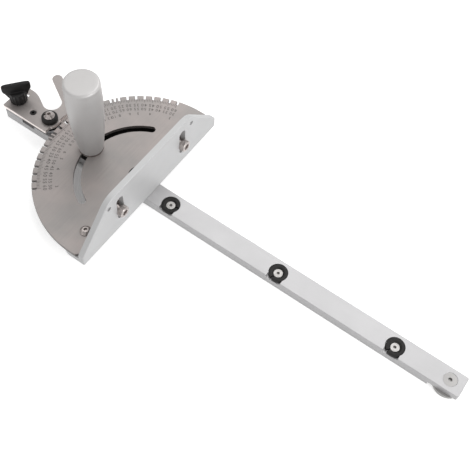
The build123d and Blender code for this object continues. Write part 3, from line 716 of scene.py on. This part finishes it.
@dataclass
class TurnedHandle:
    """Turned handle that swells above its middle, in millimetres about its own foot."""

    x: float = -51.1
    foot: float = 18.8
    height: float = 81.0
    base_radius: float = 10.4
    swell_radius: float = 15.1
    swell_height: float = 60.0
    top_radius: float = 14.6
    lower_power: float = 1.9
    upper_power: float = 1.8
    top_round: float = 2.0
    base_round: float = 0.8
    bore_radius: float = 3.05
    bore_depth: float = 20.0
    bore_edge: float = 0.4
    axis_gap: float = 0.02
    base_steps: int = 6
    side_steps: int = 48
    top_steps: int = 10
    top_shares: tuple[float, ...] = (0.8, 0.5, 0.2)
    columns: int = 128
    sharp_angle: float = 40.0

    def radius(self, height: float) -> float:
        """Find the side's radius.

        Args:
            height: Height above the foot.

        Returns:
            The radius in millimetres.
        """
        if height < self.swell_height:
            part = 1 - height / self.swell_height
            return self.swell_radius - (self.swell_radius - self.base_radius) * part ** self.lower_power
        part = (height - self.swell_height) / (self.height - self.swell_height)
        return self.swell_radius - (self.swell_radius - self.top_radius) * part ** self.upper_power

    def profile(self) -> list[Pair]:
        """List radius and height from the bore's end round the outside to the middle of the top.

        Returns:
            Pairs of radius and height in millimetres.
        """
        bore, edge = self.bore_radius, self.bore_edge
        line = [(self.axis_gap, self.bore_depth), (bore, self.bore_depth), (bore, edge), (bore + edge, 0.0)]
        for step in range(self.base_steps + 1):
            bend = math.radians(90 * step / self.base_steps)
            height = self.base_round * (1 - math.cos(bend))
            inset = self.base_round * (1 - math.sin(bend))
            line.append((self.radius(height) - inset, height))
        top_start = self.height - self.top_round
        for step in range(1, self.side_steps):
            height = self.base_round + (top_start - self.base_round) * step / self.side_steps
            line.append((self.radius(height), height))
        for step in range(self.top_steps + 1):
            bend = math.radians(90 * step / self.top_steps)
            height = top_start + self.top_round * math.sin(bend)
            line.append((self.radius(top_start) - self.top_round * (1 - math.cos(bend)), height))
        flat = self.top_radius - self.top_round
        line += [(share * flat, self.height) for share in self.top_shares]
        return line + [(self.axis_gap, self.height)]

    def build(self, material: bpy.types.Material) -> bpy.types.Object:
        """Build the handle over its solid.

        Args:
            material: The turned aluminium.

        Returns:
            The handle.
        """
        mesh = bmesh.new()
        base = (self.x, 0.0, self.foot)
        add_rings(mesh, [[round_z(base, radius, angle, height) for angle in full_turn(self.columns)]
                         for radius, height in self.profile()])
        handle = object_from(mesh, "turned_handle", material)
        shade_by_angle(handle, self.sharp_angle)
        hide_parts("handle")
        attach(handle, Body.HANDLE.value)
        return handle


@dataclass
class WingKnob:
    """Moulded wing knob with a ribbed hub, in millimetres about its own foot."""

    x: float = -132.2
    foot: float = 20.65
    height: float = 20.8
    hub_radius: float = 7.1
    hub_height: float = 12.4
    rib_depth: float = 0.6
    ribs: int = 16
    rib_columns: int = 10
    rib_power: float = 1.5
    half_span: float = 12.4
    half_thickness: float = 2.3
    wing_root: float = 4.2
    wing_side: float = 7.5
    wing_columns: int = 64
    end_power: float = 0.35
    side_power: float = 0.6
    bearing: float = 52.0
    voxel: float = 0.3
    soft_share: float = 0.5
    soft_rounds: int = 3

    def hub(self, mesh: bmesh.types.BMesh) -> None:
        """Add the ribbed hub, which swells slightly under the wings.

        Args:
            mesh: The mesh that it is added to.
        """
        levels = (
            (0.0, -0.5, 0.0), (0.5, 0.0, 0.0), (0.9, 0.0, 1.0), (6.0, 0.0, 1.0),
            (10.0, 0.35, 1.0), (12.0, 0.2, 0.6), (self.hub_height, -1.2, 0.0),
        )
        rings = []
        for height, swell, relief in levels:
            ring = []
            for angle in full_turn(self.ribs * self.rib_columns):
                ridge = max(0.0, math.cos(self.ribs * angle)) ** self.rib_power
                radius = self.hub_radius + swell + ridge * self.rib_depth * relief
                ring.append(round_z((0.0, 0.0, 0.0), radius, angle, height))
            rings.append(ring)
        add_rings(mesh, rings)

    def wing(self, mesh: bmesh.types.BMesh) -> None:
        """Add the wings: flat-sided, with rounded ends and a rounded top.

        Args:
            mesh: The mesh that it is added to.
        """
        low_side = self.height - self.wing_side
        levels = (
            (self.wing_root, self.hub_radius - 0.4, self.half_thickness + 0.9),
            (self.wing_root + 3.0, self.hub_radius + 1.4, self.half_thickness + 0.7),
            (low_side - 1.6, self.half_span - 1.7, self.half_thickness + 0.15),
            (low_side - 0.2, self.half_span - 0.45, self.half_thickness),
            (low_side + 1.6, self.half_span, self.half_thickness - 0.1),
            (self.height - 2.4, self.half_span + 0.05, self.half_thickness - 0.15),
            (self.height - 0.9, self.half_span - 0.35, self.half_thickness - 0.3),
            (self.height - 0.25, self.half_span - 1.1, self.half_thickness - 0.75),
            (self.height, self.half_span - 2.0, self.half_thickness - 1.3),
        )
        rings = []
        for level, across, thick in levels:
            ring = []
            for angle in full_turn(self.wing_columns):
                cosine, sine = math.cos(angle), math.sin(angle)
                x = across * math.copysign(abs(cosine) ** self.end_power, cosine)
                y = thick * math.copysign(abs(sine) ** self.side_power, sine)
                ring.append(Vector((x, y, level)) * MM)
            rings.append(ring)
        add_rings(mesh, rings)

    def build(self, material: bpy.types.Material) -> bpy.types.Object:
        """Build the knob over its solid.

        Args:
            material: The plastic.

        Returns:
            The knob.
        """
        mesh = bmesh.new()
        self.hub(mesh)
        self.wing(mesh)
        turned = Matrix.Rotation(math.radians(self.bearing), 4, "Z")
        place = Matrix.Translation(Vector((self.x, 0.0, self.foot)) * MM)
        bmesh.ops.transform(mesh, matrix=place @ turned, verts=mesh.verts)
        knob = object_from(mesh, "wing_knob", material)
        union = knob.modifiers.new("one_moulding", "REMESH")
        union.mode = "VOXEL"
        union.voxel_size = self.voxel * MM
        union.use_smooth_shade = True
        soften = knob.modifiers.new("soft_edges", "SMOOTH")
        soften.factor = self.soft_share
        soften.iterations = self.soft_rounds
        bake_modifiers(knob)
        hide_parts("thumb_knob")
        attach(knob, Body.KNOB.value)
        return knob


@dataclass
class SocketBolt:
    """Bolt with a round, knurled socket head that lies along X through a fence slot, in millimetres."""

    y: float
    level: float = 32.0
    head_face: float = 19.6
    seat: float = 15.02
    radius: float = 2.98
    head_radius: float = 5.0
    head_columns: int = 96
    knurl_depth: float = 0.14
    socket_flats: float = 5.0
    socket_depth: float = 2.6
    socket_edge: float = 0.25
    tip: float = 1.8
    tip_cone: float = 0.55
    tip_slope: float = 0.9
    pitch: float = 1.0
    thread_depth: float = 0.45
    thread_start: float = 9.0
    run_out: float = 0.4
    overlap: float = 0.2
    thread_steps: int = 10
    shank_columns: int = 48
    sharp_angle: float = 24.0

    def head_rings(self) -> list[list[Vector]]:
        """Ring the head from its seat over the knurled side and the rim down into the socket.

        Returns:
            The rings, of which the last one bounds the socket's floor.
        """
        face, outer, socket = self.head_face, self.head_radius, self.socket_flats / 2
        side = (
            (self.seat, outer - 0.35, 0.0),
            (self.seat + 0.3, outer - 0.05, 0.0),
            (self.seat + 0.5, outer, self.knurl_depth),
            (face - 0.9, outer, self.knurl_depth),
            (face - 0.6, outer - 0.08, 0.0),
            (face - 0.15, outer - 0.45, 0.0),
            (face, outer - 0.8, 0.0),
        )
        angles = full_turn(self.head_columns)
        rings = []
        for x, radius, knurl in side:
            centre = (x, self.y, self.level)
            rings.append([round_x(centre, radius - knurl * (index % 2), angle)
                          for index, angle in enumerate(angles)])
        edge = self.socket_edge
        for x, reach in ((face, socket + edge), (face - edge, socket), (face - self.socket_depth, socket)):
            centre = (x, self.y, self.level)
            rings.append([round_x(centre, hexagon_reach(reach, angle), angle) for angle in angles])
        return rings

    def shank_radius(self, x: float, share: float) -> float:
        """Find the shank's radius, with its thread and the cone at its tip.

        Args:
            x: Distance along X.
            share: Share of a full turn round the shank.

        Returns:
            The radius in millimetres.
        """
        wave = (x / self.pitch + share) % 1.0
        groove = self.thread_depth * (1 - abs(2 * wave - 1))
        fade = min(1.0, max(0.0, (self.thread_start - x) / self.pitch))
        taper = max(0.0, self.tip_cone - (x - self.tip)) * self.tip_slope
        return self.radius - groove * fade - taper

    def shank_rings(self) -> list[list[Vector]]:
        """Ring the shank from inside the head back to the tip, with a thread on its rear.

        Returns:
            The rings.
        """
        step = self.pitch / self.thread_steps
        count = int((self.thread_start - self.tip) / self.pitch * self.thread_steps)
        places = [self.seat + self.overlap, self.thread_start + self.run_out]
        places += [self.thread_start - index * step for index in range(count + 1)]
        columns = self.shank_columns
        return [[round_x((x, self.y, self.level), self.shank_radius(x, index / columns), angle)
                 for index, angle in enumerate(full_turn(columns))] for x in places]

    def build(self, node: str, body: Body, material: bpy.types.Material) -> bpy.types.Object:
        """Build the bolt over its solid.

        Args:
            node: The node that it stands for.
            body: The body that it rides on.
            material: The steel.

        Returns:
            The bolt.
        """
        mesh = bmesh.new()
        add_rings(mesh, self.head_rings())
        add_rings(mesh, self.shank_rings())
        bolt = object_from(mesh, f"{node}_threaded", material)
        shade_by_angle(bolt, self.sharp_angle)
        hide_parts(node)
        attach(bolt, body.value)
        return bolt


@dataclass
class SplitDisc:
    """Round nylon disc with a countersink and a split, set in a pocket of the bar, in millimetres."""

    x: float
    split_bearing: float
    y: float = -1.5
    top: float = 9.4
    height: float = 2.8
    radius: float = 7.9
    sink_radius: float = 4.9
    bore: float = 2.25
    round_edge: float = 0.35
    split_angle: float = 11.0
    columns: int = 120
    sharp_angle: float = 40.0

    def profile(self) -> list[Pair]:
        """Trace the disc's section, from the bore up the countersink and down the rounded rim.

        Returns:
            Radius and level of each corner.
        """
        low, edge = self.top - self.height, self.round_edge
        cone_foot = self.top - (self.sink_radius - self.bore)
        return [
            (self.bore + 0.15, low),
            (self.bore, low + 0.1),
            (self.bore, cone_foot),
            (self.sink_radius, self.top - 0.03),
            (self.sink_radius + 0.08, self.top),
            (self.radius - edge, self.top),
            (self.radius - 0.3 * edge, self.top - 0.3 * edge),
            (self.radius, self.top - edge),
            (self.radius, low + edge),
            (self.radius - edge, low),
        ]

    def build(self, node: str, material: bpy.types.Material) -> bpy.types.Object:
        """Build the disc over its solid.

        Args:
            node: The node that it stands for.
            material: The nylon.

        Returns:
            The disc.
        """
        section = self.profile()
        sweep = 360.0 - self.split_angle
        start = self.split_bearing + self.split_angle / 2
        bearings = [math.radians(start + sweep * index / self.columns) for index in range(self.columns + 1)]
        centre = (self.x, self.y, 0.0)
        mesh = bmesh.new()
        add_rings(mesh, [[round_z(centre, radius, bearing, level) for radius, level in section]
                         for bearing in bearings])
        disc = object_from(mesh, f"{node}_round", material)
        shade_by_angle(disc, self.sharp_angle)
        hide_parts(node)
        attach(disc, Body.BAR.value)
        return disc


@dataclass
class FlatWasher:
    """Stamped washer that lies behind the fence under a bolt's nut, in millimetres."""

    y: float
    level: float = 32.0
    front: float = 9.98
    back: float = 8.82
    bore: float = 3.15
    rim: float = 6.0
    burr: float = 0.12
    round_edge: float = 0.3
    columns: int = 72
    sharp_angle: float = 30.0

    def profile(self) -> list[Pair]:
        """Trace the washer's section: square at its burred side, rounded where it was punched.

        Returns:
            Distance along X and radius of each corner.
        """
        return [
            (self.front, self.bore + self.burr),
            (self.front - self.burr, self.bore),
            (self.back + self.burr, self.bore),
            (self.back, self.bore + self.burr),
            (self.back, self.rim - self.round_edge),
            (self.back + 0.3 * self.round_edge, self.rim - 0.3 * self.round_edge),
            (self.back + self.round_edge, self.rim),
            (self.front - self.burr, self.rim),
            (self.front, self.rim - self.burr),
        ]

    def build(self, node: str, body: Body, material: bpy.types.Material) -> bpy.types.Object:
        """Build the washer over its solid.

        Args:
            node: The node that it stands for.
            body: The body that it rides on.
            material: The steel.

        Returns:
            The washer.
        """
        rings = [[round_x((x, self.y, self.level), radius, angle) for angle in full_turn(self.columns)]
                 for x, radius in self.profile()]
        mesh = bmesh.new()
        add_rings(mesh, rings + rings[:1], capped=False)
        bmesh.ops.remove_doubles(mesh, verts=mesh.verts, dist=SAME_POINT)
        washer = object_from(mesh, f"{node}_stamped", material)
        shade_by_angle(washer, self.sharp_angle)
        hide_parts(node)
        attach(washer, body.value)
        return washer


@dataclass(frozen=True)
class Lamp:
    """Square lamp that faces a point, in metres and watts."""

    name: str
    spot: Point
    aim: Point
    size: float
    watts: float

    def build(self) -> None:
        """Hang the lamp."""
        data = bpy.data.lights.new(self.name, "AREA")
        data.shape = "SQUARE"
        data.size = self.size
        data.energy = self.watts
        lamp = bpy.data.objects.new(self.name, data)
        lamp.location = self.spot
        lamp.rotation_euler = (Vector(self.aim) - Vector(self.spot)).to_track_quat("-Z", "Y").to_euler()
        bpy.context.scene.collection.objects.link(lamp)


@dataclass
class Studio:
    """Floor, lamps, surroundings and camera, in metres."""

    floor_size: float = 6.0
    floor_color: Color = (0.86, 0.86, 0.86)
    floor_roughness: float = 0.9
    floor_glow: float = 0.62
    # Painted shade: the floor is dark in a disc about this spot under the head's plate, but not past the
    # fence's side and not where the plate leaves the floor open.
    shade_spot: Point = (-0.009, 0.008, 0.0)
    shade_inner: float = 0.060
    shade_outer: float = 0.080
    shade_front: float = -0.004
    shade_side: float = -0.008
    shade_edge: float = 0.006
    shade_color: Color = (0.02, 0.019, 0.018)
    cover_reach: float = 0.05
    cover_range: Pair = (0.42, 0.65)
    # Painted light: the floor under the plate's near side glows this much.
    near_side_painted_light: float = 0.145
    ambient: float = 0.46
    camera_spot: Point = (0.26475, -0.29177, 0.58142)
    camera_aim: Point = (0.09415, 0.00632, 0.0095)
    camera_roll: float = 6.05
    lens: float = 62.6
    sensor: float = 36.0
    near_clip: float = 0.01
    lamps: tuple[Lamp, ...] = (
        Lamp("overhead_lamp", (-0.1, 1.1, 1.6), (0.08, 0.0, 0.0), 1.5, 14.0),
        Lamp("front_lamp", (1.3, -0.1, 0.7), (0.0, 0.0, 0.03), 0.9, 7.5),
    )

    def open_floor(self, sketch: MaterialSketch) -> Socket:
        """Tell the open floor from the part under the head's plate that gets painted shade.

        Args:
            sketch: The floor's material.

        Returns:
            A value of 0 under the plate and 1 elsewhere.
        """
        offset = sketch.node("ShaderNodeVectorMath")
        offset.operation = "SUBTRACT"
        offset.inputs[1].default_value = self.shade_spot
        sketch.link(sketch.place, offset.inputs[0])
        far = sketch.node("ShaderNodeVectorMath")
        far.operation = "LENGTH"
        sketch.link(offset.outputs["Vector"], far.inputs[0])
        outside = sketch.ramp(far.outputs["Value"], 0.0, 1.0, self.shade_inner, self.shade_outer)
        along = sketch.axis("X")
        before = sketch.ramp(along, 0.0, 1.0, self.shade_front - self.shade_edge, self.shade_front)
        bare = sketch.ramp(sketch.openness(self.cover_reach), 0.0, 1.0, *self.cover_range)
        return sketch.combine("MAXIMUM", sketch.combine("MAXIMUM", outside, before), bare)

    def paint(self, sketch: MaterialSketch) -> Socket:
        """Colour the floor: painted shade under the plate, painted light under the plate's near side, and
        pale elsewhere.

        Args:
            sketch: The floor's material.

        Returns:
            How much each part of the floor glows.
        """
        uncovered = self.open_floor(sketch)
        across = sketch.axis("Y")
        # Painted light glows under the plate's near side, and the rest of the floor under the plate gets
        # painted shade.
        near_side = sketch.ramp(across, 1.0, 0.0, self.shade_side - self.shade_edge, self.shade_side)
        shaded = sketch.mix(near_side, self.shade_color, self.floor_color)
        sketch.feed(sketch.mix(uncovered, shaded, self.floor_color), "Base Color")
        under = sketch.ramp(near_side, 0.0, self.near_side_painted_light)
        return sketch.combine("MAXIMUM", under, sketch.ramp(uncovered, 0.0, self.floor_glow))

    def floor(self) -> None:
        """Build the pale floor, which shows as white and keeps the gauge's shadow, with painted shade and
        painted light under the head's plate.
        """
        sketch = MaterialSketch("studio_floor")
        sketch.surface.inputs["Roughness"].default_value = self.floor_roughness
        sketch.surface.inputs["Specular IOR Level"].default_value = 0.0
        emission = sketch.node("ShaderNodeEmission")
        glow = sketch.combine("MULTIPLY", sketch.seen(), self.paint(sketch))
        sketch.link(glow, emission.inputs["Strength"])
        both = sketch.node("ShaderNodeAddShader")
        sketch.link(sketch.surface.outputs["BSDF"], both.inputs[0])
        sketch.link(emission.outputs["Emission"], both.inputs[1])
        sketch.link(both.outputs["Shader"], sketch.output.inputs["Surface"])
        mesh = bmesh.new()
        bmesh.ops.create_grid(mesh, x_segments=1, y_segments=1, size=self.floor_size / 2)
        floor = object_from(mesh, "studio_floor", sketch.material)

    def surroundings(self) -> None:
        """Light the gauge from all round, and show plain white to the camera and in gloss."""
        world = bpy.data.worlds.new("studio_surroundings")
        bpy.context.scene.world = world
        world.use_nodes = True
        sketch = TreeSketch(world.node_tree)
        output = sketch.node("ShaderNodeOutputWorld")
        background = sketch.node("ShaderNodeBackground")
        background.inputs["Color"].default_value = (1.0, 1.0, 1.0, 1.0)
        sketch.link(sketch.ramp(sketch.seen(), self.ambient, 1.0), background.inputs["Strength"])
        sketch.link(background.outputs["Background"], output.inputs["Surface"])

    def camera(self) -> None:
        """Set the camera where the photograph was taken from."""
        data = bpy.data.cameras.new("photo_camera")
        data.sensor_width = self.sensor
        data.lens = self.lens
        data.clip_start = self.near_clip
        camera = bpy.data.objects.new("photo_camera", data)
        spot, aim = Vector(self.camera_spot), Vector(self.camera_aim)
        facing = (aim - spot).to_track_quat("-Z", "Y").to_matrix().to_4x4()
        rolled = facing @ Matrix.Rotation(math.radians(self.camera_roll), 4, "Z")
        camera.matrix_world = Matrix.Translation(spot) @ rolled
        bpy.context.scene.collection.objects.link(camera)
        bpy.context.scene.camera = camera

    def build(self) -> None:
        """Set up the whole studio."""
        self.camera()
        self.floor()
        self.surroundings()
        for lamp in self.lamps:
            lamp.build()
        view = bpy.context.scene.view_settings
        view.view_transform = "Standard"


@dataclass(frozen=True)
class BarDiscs:
    """The split discs in the bar's pockets: place along the bar and bearing of each one's split."""

    places: tuple[Pair, ...] = ((34.5, 5.0), (142.05, 250.0), (249.6, 236.0))

    def build(self, finishes: dict[str, bpy.types.Material]) -> list[bpy.types.Object]:
        """Build the discs.

        Args:
            finishes: The materials by the finish's name.

        Returns:
            The discs, from the head outwards.
        """
        nylon = finishes[NYLON_FINISH.name]
        return [SplitDisc(x, split).build(f"expansion_disc_{number}", nylon)
                for number, (x, split) in enumerate(self.places, 1)]


@dataclass(frozen=True)
class FenceFasteners:
    """The bolts and washers in the fence's slots, at each side of the bar."""

    aside: float = 40.5

    def build(self, finishes: dict[str, bpy.types.Material]) -> list[bpy.types.Object]:
        """Build the bolts and washers.

        Args:
            finishes: The materials by the finish's name.

        Returns:
            Bolt and washer of the left side, then of the right side.
        """
        made = []
        for side, body, y in (("left", Body.BOLT_LEFT, self.aside), ("right", Body.BOLT_RIGHT, -self.aside)):
            made.append(SocketBolt(y).build(f"fence_bolt_{side}", body, finishes[BOLT_FINISH.name]))
            made.append(FlatWasher(y).build(f"fence_washer_{side}", body, finishes[STEEL_FINISH.name]))
        return made


def main() -> None:
    """Build the looks of the gauge over its solid model."""
    logging.basicConfig(level=logging.INFO, format="%(name)s: %(message)s")
    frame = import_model()
    Studio().build()
    finishes = place_solid_finishes(frame["nodes"])
    made = EngravedScale().build(INK_FINISH.material())
    made.append(WingKnob().build(finishes[KNOB_FINISH.name]))
    made.append(TurnedHandle().build(finishes[HANDLE_FINISH.name]))
    made += BarDiscs().build(finishes)
    made += FenceFasteners().build(finishes)
    for piece in made:
        LOG.info("built %s", piece.name)


if __name__ == "__main__":
    main()
